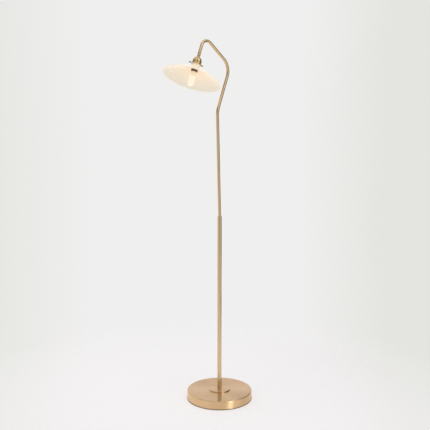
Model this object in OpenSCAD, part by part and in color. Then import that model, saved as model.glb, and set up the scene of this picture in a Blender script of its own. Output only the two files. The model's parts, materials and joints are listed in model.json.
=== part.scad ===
// Reading floor lamp: weighted round base, two-stage pole, swan-neck arm, tilting opal glass shade.
// Millimetres. The origin is on the floor under the pole, +Z is up, and the head hangs towards -X.

/* [Base] */
// Diameter of the base cover
base_d = 280; // [240:1:320]
// Height of the cover's top above the floor
base_h = 36.5; // [34:0.5:46]
// Thickness of the cover's sheet metal
cover_wall = 1.5; // [1:0.1:2.5]
// Radius of the cover's top edge
cover_edge_r = 3; // [2.6:0.1:6]
// Gap between the cover's skirt and the floor
skirt_gap = 0.8; // [0.5:0.1:1.4]
// Thickness of the felt pad
pad_t = 2; // [1.6:0.1:3]
// Distance of the pad's edge inside the cover's edge
pad_inset = 5; // [4:0.5:12]
// Thickness of the cast weight
weight_t = 18; // [17:0.5:22]
// Diameter of the pocket for the nut under the weight
pocket_d = 46; // [42:1:60]
// Depth of the pocket for the nut under the weight
pocket_depth = 12; // [10:0.5:13]
// Diameter of the raised centre plate
plate_d = 92; // [70:1:120]
// Thickness of the raised centre plate
plate_t = 4; // [3:0.5:6]
// Radius of the centre plate's top edge
plate_edge_r = 0.8; // [0.4:0.1:1.5]
// Depth of the seat for the pole in the centre plate
seat_depth = 1.5; // [1:0.1:2]
// Diameter of the spacer tube inside the base
spacer_d = 28; // [22:1:40]

/* [Base fasteners] */
// Outer diameter of the threaded nipple
nipple_d = 10; // [9:0.5:11]
// Bore of the threaded nipple
nipple_bore = 7; // [5:0.5:8]
// Length of the nipple below its nut
nipple_tail = 1; // [0.5:0.5:2]
// Outer diameter of the washer under the weight
base_washer_d = 34; // [24:1:38]
// Thickness of the washer under the weight
base_washer_t = 2; // [1:0.5:2.5]
// Width across the flats of the nut under the weight
base_nut_af = 17; // [15:0.5:22]
// Thickness of the nut under the weight
base_nut_t = 5; // [4:0.5:6]

/* [Cord inlet] */
// Height of the inlet's centre above the floor
inlet_h = 10; // [9.5:0.5:12]
// Diameter of the bushing's barrel
inlet_barrel_d = 10; // [9:0.5:12]
// Bore of the bushing
inlet_bore = 7; // [5:0.5:7.5]
// Length of the barrel inside the cover
inlet_barrel_len = 9; // [6:0.5:12]
// Diameter of the bushing's flange
inlet_flange_d = 15; // [13.5:0.5:17]
// Thickness of the bushing's flange
inlet_flange_t = 2; // [1.5:0.5:3]

/* [Pole] */
// Outer diameter of the lower pole
pole_d = 18; // [17:0.1:22]
// Wall of the lower pole
pole_wall = 1.2; // [1:0.1:1.5]
// Height of the pole's mouth above the floor
pole_top = 796; // [600:1:1000]
// Radius of the edge round the pole's mouth
pole_edge_r = 0.5; // [0.2:0.1:0.9]
// Length of the threaded plug in the pole's foot
foot_plug_len = 25; // [15:1:40]
// Length of the bush in the pole's mouth
upper_bush_len = 24; // [15:1:40]
// Length of the arm inside the pole
insert_len = 120; // [90:1:200]
// Length of the lower bush round the arm's end
lower_guide_len = 14; // [10:1:30]
// Thickness of the lower bush's floor
lower_floor_t = 10; // [6:1:20]
// Bore through the lower bush's floor
lower_floor_bore = 8; // [6:0.5:9]
// Thickness of the thrust washer under the arm
thrust_t = 1.2; // [0.8:0.1:2]
// Diameter of the stop pin in the arm
stop_pin_d = 3; // [2:0.5:3.5]
// Length by which the stop pin stands out of the arm
stop_pin_reach = 1; // [0.8:0.05:1.1]
// Swing of the arm to each side before the stop
swing_angle = 160; // [120:1:162]

/* [Swan neck] */
// Outer diameter of the arm's tube
neck_d = 12.7; // [12:0.1:13]
// Wall of the arm's tube
neck_wall = 1.2; // [1:0.1:1.6]
// Height above the pole's mouth at which the arm starts to lean
lean_rise = 8; // [6:0.5:20]
// Lean of the long straight towards the head
lean_angle = 1.65; // [0.5:0.05:2.5]
// Bend radius of the lean
lean_bend_r = 150; // [100:10:200]
// Length of the long straight, corner to corner
long_run = 435; // [300:1:500]
// Backward angle of the kick above the long straight
kick_angle = 20.1; // [10:0.1:30]
// Length of the kick, corner to corner
kick_run = 202; // [180:1:260]
// Bend radius into the kick
kick_bend_r = 110; // [60:1:150]
// Forward angle of the diagonal
diagonal_angle = 51.9; // [40:0.1:60]
// Length of the diagonal, corner to corner
diagonal_run = 176.5; // [150:0.5:240]
// Bend radius into the diagonal
diagonal_bend_r = 62; // [40:1:80]
// Outward angle of the drop that ends in the knuckle
drop_angle = 19.5; // [10:0.1:25]
// Length of the drop, from the corner to the tube's end
drop_run = 70; // [64:0.5:100]
// Bend radius over the top
drop_bend_r = 28; // [22:1:32]
// Amount by which the tube draws in at a bend
bend_draw = 0.02; // [0.01:0.01:0.05]

/* [Knuckle] */
// Distance of the tilt axis from the tube's end
knuckle_reach = 14; // [13:0.1:18]
// Thickness of the fork's round root
fork_root_t = 5; // [3:0.1:6]
// Length of the fork's stud inside the arm
fork_stud_len = 14; // [8:0.5:18]
// Diameter of the fork's stud
fork_stud_d = 8; // [6:0.1:8.5]
// Thickness of the tongue between the ears
tongue_t = 4.6; // [3.5:0.1:5]
// Radius of the tongue's eye
eye_r = 6; // [5:0.1:6]
// Thickness of each friction washer
friction_t = 0.6; // [0.4:0.1:0.8]
// Outer diameter of the friction washers
friction_d = 11; // [8:0.1:11.4]
// Diameter of the knuckle's screw
knuckle_screw_d = 4; // [3:0.1:5]
// Diameter of the knuckle screw's head
knuckle_head_d = 7.5; // [7:0.1:8.5]
// Height of the knuckle screw's head
knuckle_head_t = 1.7; // [1.2:0.1:2.5]
// Width across the flats of the knuckle's nut
knuckle_nut_af = 7; // [6.5:0.1:8]
// Thickness of the knuckle's nut
knuckle_nut_t = 2.4; // [1.6:0.1:3.5]
// Distance of the tongue's round shoulder from the tilt axis
shoulder_reach = 6.9; // [6.8:0.1:9]
// Thickness of the tongue's round shoulder
shoulder_t = 1.2; // [1:0.1:4]
// Diameter of the threaded stud that carries the head
head_stud_d = 10; // [8:0.1:11]

/* [Shade holder] */
// Tilt of the head from hanging straight down
head_tilt = 20.2; // [10:0.1:30]
// Outer radius of the domed cup
dome_r = 18.8; // [18.6:0.1:24]
// Thickness of the cup and of the gallery
holder_wall = 1; // [0.8:0.1:1.2]
// Radius of the collar on top of the cup
collar_r = 7.2; // [6.5:0.1:9]
// Height by which the collar stands over the cup
collar_rise = 0.6; // [0.4:0.1:2]
// Height of the gallery below the cup
gallery_h = 15.5; // [14.5:0.1:20]
// Step of the gallery outside the cup
gallery_step = 0.4; // [0.2:0.1:1]
// Height of the bead round the gallery's mouth
bead_h = 1.6; // [1:0.1:2.5]
// Distance of the thumbscrews above the gallery's mouth
screw_rise = 8.8; // [8:0.1:9.2]
// Turn of the thumbscrews round the head
screw_turn = 120; // [90:1:150]
// Diameter of the thumbscrew's shank
screw_d = 3; // [2.4:0.1:3.4]
// Radius of the threaded boss round each thumbscrew
boss_r = 2.7; // [2.4:0.1:3.4]
// Height of the threaded boss
boss_h = 1.6; // [1:0.1:3]
// Bare shank between the boss and the knob
shank_len = 5.2; // [2:0.1:8]
// Radius of the thumbscrew's knob
knob_r = 2.4; // [2.1:0.1:4]
// Length of the thumbscrew's knob
knob_len = 8; // [5:0.1:12]
// Radius of the flutes round the knob
flute_r = 0.4; // [0.3:0.05:0.5]
// Number of flutes round the knob
flutes = 12; // [8:1:14]

/* [Shade] */
// Diameter of the shade's rim
shade_d = 248; // [200:1:300]
// Height of the shade from its lip to its rim
shade_h = 74.6; // [64:0.2:96]
// Thickness of the glass
glass_t = 2.5; // [2.2:0.1:2.7]
// Length of the glass neck from its lip to the flare
glass_neck_len = 15; // [14:0.5:20]
// Width by which the lip stands out of the neck
lip_w = 1.3; // [1.2:0.05:1.5]
// Thickness of the lip
lip_t = 2.4; // [2:0.1:2.4]
// Radius of the flare between the neck and the cone
flare_r = 10; // [6:1:20]

/* [Lampholder and bulb] */
// Thickness of the nut that clamps the holder
holder_nut_t = 3.6; // [2.5:0.1:4.5]
// Width across the flats of the holder's nut
holder_nut_af = 14; // [13:0.1:18]
// Outer diameter of the lampholder's body
socket_d = 27; // [24:0.1:27.4]
// Length of the lampholder's body
socket_len = 40; // [34:0.5:46]
// Thickness of the lampholder's root, which screws on the stud
socket_root_t = 8; // [6:0.1:9]
// Depth of the chamfer round the lampholder's root
socket_chamfer = 2; // [1:0.1:3]
// Thickness of the screw shell
shell_t = 0.5; // [0.3:0.1:0.6]
// Distance of the screw shell inside the lampholder's mouth
shell_inset = 2; // [1:0.1:4]
// Diameter of the centre contact
contact_d = 6; // [4:0.1:8]
// Thickness of the centre contact
contact_t = 1.2; // [0.8:0.1:2]
// Diameter of the bulb's cap
cap_d = 14; // [13:0.1:14.6]
// Wall of the bulb's cap
cap_wall = 0.4; // [0.3:0.05:0.6]
// Length by which the bulb's cap stands out of the lampholder
cap_out = 1.5; // [0.5:0.1:4]
// Thickness of the insulator at the end of the cap
insulator_t = 2; // [1.5:0.1:3]
// Diameter of the bulb
bulb_d = 25; // [22:0.1:30]
// Length of the bulb's glass outside the cap
bulb_len = 61.5; // [50:0.5:90]
// Wall of the bulb
bulb_wall = 0.8; // [0.6:0.1:1]
// Length of the stem inside the bulb
stem_len = 20; // [12:0.5:26]
// Diameter of the stem
stem_d = 4; // [3:0.1:6]
// Length of the filaments
filament_len = 26; // [15:0.5:34]
// Diameter of the filaments
filament_d = 1.8; // [1:0.1:3]
// Distance between the filaments
filament_gap = 9; // [6:0.5:12]

/* [Fits] */
// Radial clearance between pieces that turn in each other
running_fit = 0.05; // [0.02:0.01:0.1]
// Clearance between pieces that are fitted together and stay still
seat_fit = 0.03; // [0.01:0.01:0.05]
// Gap between faces that pass each other
face_gap = 0.15; // [0.1:0.01:0.2]
// Gap round the glass and other loose pieces
loose_gap = 0.3; // [0.25:0.01:0.4]

/* [Hidden] */
$fn = 96;
brass = [0.79, 0.65, 0.46];
raw_brass = [0.72, 0.58, 0.32];
iron = [0.22, 0.22, 0.23];
steel = [0.62, 0.62, 0.63];
felt = [0.20, 0.18, 0.16];
phenolic = [0.16, 0.11, 0.08];
nylon = [0.86, 0.84, 0.78];
opal = [0.97, 0.92, 0.84];
clear_glass = [0.96, 0.94, 0.88];
glow = [1.00, 0.82, 0.50];

// Reach past a face, so that a cut goes clean through it
over = 1;

// Levels of the base
base_r = base_d / 2;
weight_r = base_r - cover_wall - loose_gap;
weight_top = pad_t + weight_t;
cover_under = base_h - cover_wall;
pocket_top = pad_t + pocket_depth;
nut_low = pocket_top - base_washer_t - base_nut_t;
nipple_low = nut_low - nipple_tail;
channel_w = inlet_barrel_d + 2 * loose_gap;
channel_top = inlet_h + channel_w / 2;
pole_low = base_h + plate_t - seat_depth;

// Levels and radii inside the pole
pole_bore_r = pole_d / 2 - pole_wall;
press_r = pole_bore_r - seat_fit;
neck_r = neck_d / 2;
neck_bore_r = neck_r - neck_wall;
insert_low = pole_top - insert_len;
thrust_top = insert_low - face_gap;
lower_floor_top = thrust_top - thrust_t;
guide_top = insert_low + lower_guide_len;
stop_h = stop_pin_d + 2 * face_gap;
stop_level = guide_top + stop_h / 2;
stop_tip_r = neck_r + stop_pin_reach;
lug_inner_r = neck_r + running_fit;
stop_half_angle = asin((stop_pin_d / 2 + face_gap) / neck_r);
lug_half_angle = 180 - swing_angle - stop_half_angle;

// Corners of the arm's centreline in its own plane, as reach towards the head and height
function heading(angle) = [sin(angle), cos(angle)];
headings = [0, lean_angle, -kick_angle, diagonal_angle, 180 - drop_angle];
bend_radii = [lean_bend_r, kick_bend_r, diagonal_bend_r, drop_bend_r];
insert_end = [0, insert_low];
lean_corner = [0, pole_top + lean_rise];
kick_corner = lean_corner + long_run * heading(headings[1]);
back_corner = kick_corner + kick_run * heading(headings[2]);
top_corner = back_corner + diagonal_run * heading(headings[3]);
tube_end = top_corner + drop_run * heading(headings[4]);
tilt_axis = tube_end + knuckle_reach * heading(headings[4]);
corners = [insert_end, lean_corner, kick_corner, back_corner, top_corner, tube_end];
bends = len(bend_radii);
bend_reach = 25 * bend_draw;
function turn(i) = headings[i + 1] - headings[i];
function setback(i) = i < 0 || i >= bends ? 0 : bend_radii[i] * tan(abs(turn(i)) / 2);

// Sizes of the knuckle
ear_gap = tongue_t + 2 * friction_t + 4 * face_gap;
ear_out = sqrt(neck_r * neck_r - knuckle_screw_d * knuckle_screw_d / 4) - loose_gap;
ear_r = eye_r + face_gap;
ear_root = knuckle_reach - fork_root_t;
knuckle_screw_r = knuckle_screw_d / 2;
eye_bore_r = knuckle_screw_r + running_fit;
fork_stud_r = fork_stud_d / 2;
head_stud_r = head_stud_d / 2;
stud_bore_r = head_stud_r + seat_fit;

// Levels of the head, measured from the tilt axis along the head
cup_top = shoulder_reach + shoulder_t;
sphere_top = cup_top + collar_rise;
cup_low = sphere_top + dome_r;
gallery_r = dome_r + gallery_step;
gallery_bore_r = gallery_r - holder_wall;
gallery_low = cup_low + gallery_h;
flange_low = cup_low + holder_wall;
screw_level = gallery_low - screw_rise;
holder_nut_low = flange_low + holder_nut_t;
socket_top = holder_nut_low;
socket_low = socket_top + socket_len;
socket_floor = socket_top + socket_root_t;
stud_low = socket_floor - face_gap;

// Glass shade: its lip fits the gallery's bore, and the cone is tangent to the flare
glass_neck_r = gallery_bore_r - loose_gap - lip_w;
lip_low = screw_level - screw_d / 2 - loose_gap;
lip_top = lip_low - lip_t;
flare_level = lip_top + glass_neck_len;
rim_level = lip_top + shade_h;
flare_centre = [glass_neck_r + flare_r, flare_level];
rim_edge = [shade_d / 2, rim_level];
rim_from_flare = rim_edge - flare_centre;
cone_len = sqrt(rim_from_flare * rim_from_flare - flare_r * flare_r);
cone_slope = atan2(rim_from_flare[1], rim_from_flare[0]) - atan2(flare_r, cone_len);
cone_inward = [-sin(cone_slope), cos(cone_slope)];
cone_start = flare_centre + flare_r * cone_inward;

// Thumbscrews
screw_count = 3;
screw_r = screw_d / 2;
screw_tip = glass_neck_r + loose_gap;
boss_out = gallery_r + boss_h;
knob_in = boss_out + shank_len;
knob_out = knob_in + knob_len;
knob_chamfer = knob_r / 6;

// Lampholder and bulb
cap_r = cap_d / 2;
shell_in_r = cap_r + face_gap;
shell_out_r = shell_in_r + shell_t;
socket_bore_r = shell_out_r + seat_fit;
contact_low = socket_floor + contact_t;
insulator_top = contact_low + 2 * face_gap + contact_t;
cap_top = insulator_top + insulator_t;
cap_low = socket_low + cap_out;
bulb_r = bulb_d / 2;
bulb_neck_r = cap_r - cap_wall - seat_fit;
shoulder_r = bulb_r - bulb_neck_r;
bulb_tip = cap_low + bulb_len;
bulb_seat = cap_low - (cap_low - cap_top) / 2;
stem_top = bulb_seat + loose_gap;
stem_low = cap_low + stem_len;
filament_top = stem_low + seat_fit;

// Shapes that repeat

module tube_section(outer_r, inner_r) {
  difference() {
    circle(outer_r);
    circle(inner_r);
  }
}

module ring(outer_r, inner_r, low, high) {
  translate([0, 0, low]) linear_extrude(high - low) tube_section(outer_r, inner_r);
}

module disc(radius, low, high) {
  translate([0, 0, low]) cylinder(r = radius, h = high - low);
}

// Bored hexagon nut on the Z axis
module hex_nut(across_flats, bore_r, low, high) {
  translate([0, 0, low])
    linear_extrude(high - low)
      difference() {
        circle(d = across_flats / cos(30), $fn = 6);
        circle(bore_r);
      }
}

// Quarter of a disc in the first quadrant
module quarter_disc(radius) {
  intersection() {
    circle(radius);
    square(radius);
  }
}

// Half of a disc on the side of +X
module half_disc(radius) {
  intersection() {
    circle(radius);
    translate([0, -radius]) square(2 * radius);
  }
}

// Outline of an eye round the origin with a straight shank up to a given height
module eye_outline(radius, high) {
  rotate(-90) half_disc(radius);
  translate([-radius, 0]) square([2 * radius, high]);
}

// Half profile of a round slab from the axis to its rim, with a round upper edge
module slab_profile(radius, low, high, edge_r) {
  translate([0, low]) square([radius - edge_r, high - low]);
  translate([radius - edge_r, low]) square([edge_r, high - edge_r - low]);
  translate([radius - edge_r, high - edge_r]) quarter_disc(edge_r);
}

// Carries a shape to the tilt axis, with +Z back up the arm
module on_fork() {
  translate([-tilt_axis[0], 0, tilt_axis[1]]) rotate([0, drop_angle, 0]) children();
}

// Carries a shape to the tilt axis, with +Z along the head towards the shade's mouth
module on_head() {
  translate([-tilt_axis[0], 0, tilt_axis[1]]) rotate([0, head_tilt, 0]) rotate([180, 0, 0]) children();
}

// Carries a shape to a thumbscrew's axis, with +Z outwards
module on_screw(i) {
  rotate([0, 0, i * 360 / screw_count - screw_turn])
    translate([0, 0, screw_level])
      rotate([0, 90, 0]) children();
}

// Base

module base_pad() {
  color(felt) disc(base_r - pad_inset, 0, pad_t);
}

// Cast disc with a pocket for the nut and a channel for the wire, both open to the underside
module base_weight() {
  color(iron) difference() {
    disc(weight_r, pad_t, weight_top);
    disc(nipple_d / 2 + seat_fit, pad_t - over, weight_top + over);
    disc(pocket_d / 2, pad_t - over, pocket_top);
    translate([0, -channel_w / 2, pad_t - over])
      cube([base_r, channel_w, channel_top - pad_t + over]);
  }
}

module base_cover() {
  color(brass) difference() {
    rotate_extrude()
      difference() {
        slab_profile(base_r, skirt_gap, base_h, cover_edge_r);
        slab_profile(base_r - cover_wall, skirt_gap - over, cover_under, cover_edge_r - cover_wall);
        translate([0, skirt_gap]) square([nipple_d / 2 + seat_fit, base_h]);
      }
    translate([base_r - cover_edge_r - cover_wall, 0, inlet_h])
      rotate([0, 90, 0]) cylinder(d = inlet_barrel_d + 2 * seat_fit, h = base_r);
  }
}

module base_spacer() {
  color(steel) ring(spacer_d / 2, nipple_d / 2 + seat_fit, weight_top, cover_under);
}

module centre_plate() {
  color(brass) rotate_extrude() difference() {
    translate([0, base_h]) slab_profile(plate_d / 2, 0, plate_t, plate_edge_r);
    translate([0, base_h - over]) square([nipple_d / 2 + seat_fit, plate_t + 2 * over]);
    translate([0, pole_low]) square([pole_d / 2 + seat_fit, plate_t]);
  }
}

module base_nipple() {
  color(raw_brass) ring(nipple_d / 2, nipple_bore / 2, nipple_low, pole_low + foot_plug_len);
}

module base_washer() {
  color(steel)
    ring(base_washer_d / 2, nipple_d / 2 + seat_fit, pocket_top - base_washer_t, pocket_top);
}

module base_nut() {
  color(steel)
    hex_nut(base_nut_af, nipple_d / 2 + seat_fit, nut_low, pocket_top - base_washer_t);
}

// Inlet bushing in the back of the skirt, opposite the head
module cord_bushing() {
  color(phenolic) translate([base_r, 0, inlet_h]) rotate([0, 90, 0]) difference() {
    union() {
      translate([0, 0, -inlet_barrel_len])
        cylinder(d = inlet_barrel_d, h = inlet_barrel_len + loose_gap + inlet_flange_t / 2);
      translate([0, 0, loose_gap]) cylinder(d = inlet_flange_d, h = inlet_flange_t);
    }
    translate([0, 0, -inlet_barrel_len - over])
      cylinder(d = inlet_bore, h = inlet_barrel_len + inlet_flange_t + 2 * over);
  }
}

// Pole

module lower_pole() {
  color(brass) rotate_extrude() difference() {
    slab_profile(pole_d / 2, pole_low, pole_top, pole_edge_r);
    translate([0, pole_low - over]) square([pole_bore_r, pole_top]);
  }
}

module foot_plug() {
  color(raw_brass) ring(press_r, nipple_d / 2 + seat_fit, pole_low, pole_low + foot_plug_len);
}

module upper_bush() {
  color(nylon) ring(press_r, neck_r + running_fit, pole_top - upper_bush_len, pole_top);
}

// Lower bush: a guide round the arm's end, a floor under the thrust washer and a stop lug on top
module lower_bush() {
  color(nylon) {
    ring(press_r, neck_r + running_fit, lower_floor_top, guide_top);
    ring(press_r, lower_floor_bore / 2, lower_floor_top - lower_floor_t, lower_floor_top);
    intersection() {
      ring(press_r, lug_inner_r, guide_top, guide_top + stop_h);
      translate([0, 0, guide_top])
        linear_extrude(stop_h)
          polygon([
            [0, 0],
            -2 * pole_d * [cos(lug_half_angle), sin(lug_half_angle)],
            -2 * pole_d * [cos(lug_half_angle), -sin(lug_half_angle)]
          ]);
    }
  }
}

module thrust_washer() {
  color(steel)
    ring(neck_r - face_gap, lower_floor_bore / 2, lower_floor_top, thrust_top - seat_fit);
}

// Swan-neck arm

// A round rod round a bend, which reaches a little way into the straights at both ends
module bend(bend_r, angle, radius) {
  reach = bend_reach / bend_r * 180 / PI;
  rotate([0, 0, angle < 0 ? 180 : 0])
    translate([-bend_r, 0, 0])
      rotate([90, 0, 0])
        rotate_extrude(angle = abs(angle) + 2 * reach, start = -reach)
          translate([bend_r, 0]) circle(radius);
}

// Carries a shape past a bend, with +Z along the new heading
module past_bend(bend_r, angle) {
  centre = -sign(angle) * bend_r;
  translate([centre, 0, 0]) rotate([0, -angle, 0]) translate([-centre, 0, 0]) children();
}

// A round rod along the arm from its straight number i on: each bend starts where the straight ends
module arm_rod(i, radius) {
  run = norm(corners[i + 1] - corners[i]) - setback(i - 1) - setback(i);
  cylinder(r = radius, h = run);
  if (i < bends)
    translate([0, 0, run]) {
      bend(bend_radii[i], turn(i), radius - bend_draw);
      past_bend(bend_radii[i], turn(i)) arm_rod(i + 1, radius);
    }
}

module swan_neck() {
  color(brass) difference() {
    translate([0, 0, insert_low]) arm_rod(0, neck_r);
    translate([0, 0, insert_low]) arm_rod(0, neck_bore_r);
    translate([0, 0, stop_level])
      rotate([0, 90, 0]) cylinder(d = stop_pin_d + 2 * seat_fit, h = neck_d);
  }
}

module stop_pin() {
  color(steel)
    translate([neck_bore_r - neck_wall, 0, stop_level])
      rotate([0, 90, 0]) cylinder(d = stop_pin_d, h = stop_tip_r - neck_bore_r + neck_wall);
}

// Threaded plug in the arm's end, which takes the fork's stud
module neck_plug() {
  color(raw_brass)
    on_fork()
      ring(neck_bore_r - seat_fit, fork_stud_r + seat_fit, knuckle_reach, knuckle_reach + fork_stud_len);
}

// Knuckle

module knuckle_fork() {
  color(brass) on_fork() {
    difference() {
      intersection() {
        disc(neck_r, -neck_d, knuckle_reach);
        union() {
          rotate([90, 0, 0]) linear_extrude(2 * neck_d, center = true) eye_outline(ear_r, ear_root);
          translate([-neck_d, -neck_d, ear_root]) cube([2 * neck_d, 2 * neck_d, fork_root_t]);
        }
      }
      translate([-neck_d, -ear_gap / 2, -neck_d]) cube([2 * neck_d, ear_gap, neck_d + ear_root]);
      for (side = [-1, 1])
        translate([-neck_d, side > 0 ? ear_out : -ear_out - neck_d, -neck_d])
          cube([2 * neck_d, neck_d, neck_d + ear_root]);
      rotate([90, 0, 0]) cylinder(r = knuckle_screw_r + seat_fit, h = 2 * neck_d, center = true);
    }
    ring(fork_stud_r, fork_stud_r / 2, knuckle_reach, knuckle_reach + fork_stud_len);
  }
}

// Slotted screw through both ears, with its head on the side of -Y
module knuckle_screw() {
  color(brass) on_fork() rotate([90, 0, 0]) {
    difference() {
      union() {
        translate([0, 0, -ear_out - knuckle_nut_t])
          cylinder(r = knuckle_screw_r, h = 2 * ear_out + knuckle_nut_t + knuckle_head_t / 4);
        translate([0, 0, ear_out]) cylinder(d = knuckle_head_d, h = knuckle_head_t);
      }
      translate([-knuckle_head_d, -knuckle_head_t / 4, ear_out + knuckle_head_t / 2])
        cube([2 * knuckle_head_d, knuckle_head_t / 2, knuckle_head_t]);
    }
  }
}

module knuckle_nut() {
  color(brass) on_fork() rotate([90, 0, 0])
    hex_nut(knuckle_nut_af, knuckle_screw_r + seat_fit, -ear_out - knuckle_nut_t, -ear_out);
}

// Two washers, one on each side of the tongue
module friction_washers() {
  color(steel) on_fork() rotate([90, 0, 0])
    for (side = [-1, 1])
      translate([0, 0, side * (tongue_t + friction_t + 2 * face_gap) / 2])
        ring(friction_d / 2, eye_bore_r, -friction_t / 2, friction_t / 2);
}

// Eye between the ears, a round shoulder and the stud that carries the head
module knuckle_tongue() {
  color(brass) on_head() {
    rotate([90, 0, 0])
      linear_extrude(tongue_t, center = true)
        difference() {
          eye_outline(eye_r, shoulder_reach);
          circle(eye_bore_r);
        }
    disc(neck_r, shoulder_reach, cup_top);
    ring(head_stud_r, head_stud_r / 2, cup_top, stud_low);
  }
}

// Shade holder

module domed_cup() {
  color(brass) on_head() rotate_extrude() difference() {
    union() {
      translate([0, cup_low]) intersection() {
        circle(dome_r);
        translate([0, -dome_r]) square(dome_r);
      }
      translate([0, cup_top]) square([collar_r, dome_r / 2]);
    }
    translate([0, cup_low]) circle(dome_r - holder_wall);
    translate([0, cup_top - over]) square([stud_bore_r, dome_r]);
  }
}

// Cylindrical cup under the dome, with a beaded mouth and three threaded bosses
module gallery() {
  color(brass) on_head() difference() {
    union() {
      rotate_extrude() difference() {
        union() {
          translate([0, cup_low]) square([gallery_r, gallery_h]);
          translate([gallery_r, gallery_low - bead_h / 2]) half_disc(bead_h / 2);
        }
        translate([0, flange_low]) square([gallery_bore_r, gallery_h]);
        translate([0, cup_low - over]) square([stud_bore_r, gallery_h]);
      }
      for (i = [0 : screw_count - 1])
        on_screw(i) disc(boss_r, gallery_bore_r + holder_wall / 2, boss_out);
    }
    for (i = [0 : screw_count - 1])
      on_screw(i) disc(screw_r + running_fit, gallery_bore_r / 2, boss_out + over);
    disc(gallery_bore_r, flange_low, gallery_low + over);
  }
}

module holder_nut() {
  color(steel) on_head() hex_nut(holder_nut_af, stud_bore_r, flange_low, holder_nut_low);
}

// Screw with a shank under the glass lip and a fluted knob
module thumbscrew(i) {
  color(brass) on_head() on_screw(i) {
    disc(screw_r, screw_tip, knob_in);
    difference() {
      rotate_extrude() polygon([
        [0, knob_in],
        [knob_r - knob_chamfer, knob_in],
        [knob_r, knob_in + knob_chamfer],
        [knob_r, knob_out - knob_chamfer],
        [knob_r - knob_chamfer, knob_out],
        [0, knob_out]
      ]);
      for (k = [0 : flutes - 1])
        rotate([0, 0, k * 360 / flutes])
          translate([knob_r + flute_r / 3, 0, 0]) disc(flute_r, knob_in - over, knob_out + over);
    }
  }
}

module thumbscrew_1() { thumbscrew(0); }

module thumbscrew_2() { thumbscrew(1); }

module thumbscrew_3() { thumbscrew(2); }

// Glass shade: a lip over the thumbscrews, a neck, a flare and a shallow cone with a round rim
module glass_shade() {
  sector_r = 2 * (flare_r + glass_t);
  color(opal) on_head() rotate_extrude() {
    translate([glass_neck_r - glass_t, lip_top]) square([glass_t, glass_neck_len]);
    translate([glass_neck_r, lip_top]) square([lip_w - lip_t / 2, lip_t]);
    translate([glass_neck_r + lip_w - lip_t / 2, lip_top + lip_t / 2]) half_disc(lip_t / 2);
    intersection() {
      translate(flare_centre) tube_section(flare_r + glass_t, flare_r);
      polygon([
        flare_centre,
        flare_centre + [-sector_r, 0],
        flare_centre + [-sector_r, sector_r],
        flare_centre + sector_r * cone_inward
      ]);
    }
    polygon([cone_start, rim_edge, rim_edge + glass_t * cone_inward, cone_start + glass_t * cone_inward]);
    translate(rim_edge + glass_t / 2 * cone_inward) rotate(cone_slope) half_disc(glass_t / 2);
  }
}

// Lampholder

module socket_body() {
  color(phenolic) on_head() rotate_extrude() difference() {
    polygon([
      [0, socket_top],
      [socket_d / 2 - socket_chamfer, socket_top],
      [socket_d / 2, socket_top + socket_chamfer],
      [socket_d / 2, socket_low],
      [0, socket_low]
    ]);
    translate([0, socket_top - over]) square([stud_bore_r, socket_len]);
    translate([0, socket_floor]) square([socket_bore_r, socket_len]);
  }
}

module socket_shell() {
  color(raw_brass)
    on_head() ring(shell_out_r, shell_in_r, contact_low + loose_gap, socket_low - shell_inset);
}

// Centre contact on an insulating carrier that covers the end of the stud
module socket_contact() {
  color(raw_brass) on_head() {
    disc(socket_bore_r - seat_fit, socket_floor, socket_floor + contact_t / 2);
    disc(contact_d / 2, socket_floor + contact_t / 2, contact_low);
  }
}

// Bulb

// Half profile of the bulb's glass inside a given radius, from its seat in the cap to its tip
module bulb_profile(neck_radius, tube_radius, tip) {
  corner = tube_radius - neck_radius;
  translate([0, bulb_seat]) square([neck_radius, cap_low + shoulder_r - bulb_seat]);
  translate([neck_radius, cap_low + shoulder_r]) rotate(-90) quarter_disc(corner);
  translate([0, cap_low + shoulder_r]) square([tube_radius, tip - tube_radius - cap_low - shoulder_r]);
  translate([0, tip - tube_radius]) quarter_disc(tube_radius);
}

module bulb_glass() {
  color(clear_glass) on_head() rotate_extrude() difference() {
    bulb_profile(bulb_neck_r, bulb_r, bulb_tip);
    bulb_profile(bulb_neck_r - bulb_wall, bulb_r - bulb_wall, bulb_tip - bulb_wall);
  }
}

module bulb_cap() {
  color(steel) on_head() ring(cap_r, cap_r - cap_wall, cap_top, cap_low);
}

module bulb_insulator() {
  color(phenolic) on_head() disc(cap_r - cap_wall - seat_fit, insulator_top, cap_top + insulator_t);
}

module bulb_contact() {
  color(steel) on_head() disc(contact_d / 2, contact_low + face_gap, insulator_top);
}

// Glass stem from the neck of the bulb to the filaments
module bulb_stem() {
  color(clear_glass) on_head() {
    disc(bulb_neck_r - bulb_wall - seat_fit, stem_top, stem_top + stem_d);
    disc(stem_d / 2, stem_top + stem_d, stem_low);
    disc(filament_gap / 2 + filament_d, stem_low - filament_d, stem_low);
  }
}

module bulb_filament() {
  color(glow) on_head()
    for (side = [-1, 1])
      translate([side * filament_gap / 2, 0, 0])
        disc(filament_d / 2, filament_top, filament_top + filament_len);
}

base_pad();
base_weight();
base_cover();
base_spacer();
centre_plate();
base_nipple();
base_washer();
base_nut();
cord_bushing();
lower_pole();
foot_plug();
upper_bush();
lower_bush();
thrust_washer();
swan_neck();
stop_pin();
neck_plug();
knuckle_fork();
knuckle_screw();
knuckle_nut();
friction_washers();
knuckle_tongue();
domed_cup();
gallery();
holder_nut();
socket_body();
socket_shell();
socket_contact();
glass_shade();
bulb_glass();
bulb_cap();
bulb_insulator();
bulb_contact();
bulb_stem();
bulb_filament();
thumbscrew_1();
thumbscrew_2();
thumbscrew_3();
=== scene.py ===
"""Looks of the reading floor lamp: satin brass, an opal glass shade with a lit bulb, a pale studio."""
import json
import math

import bmesh
import bpy
from mathutils import Matrix, Vector


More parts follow.
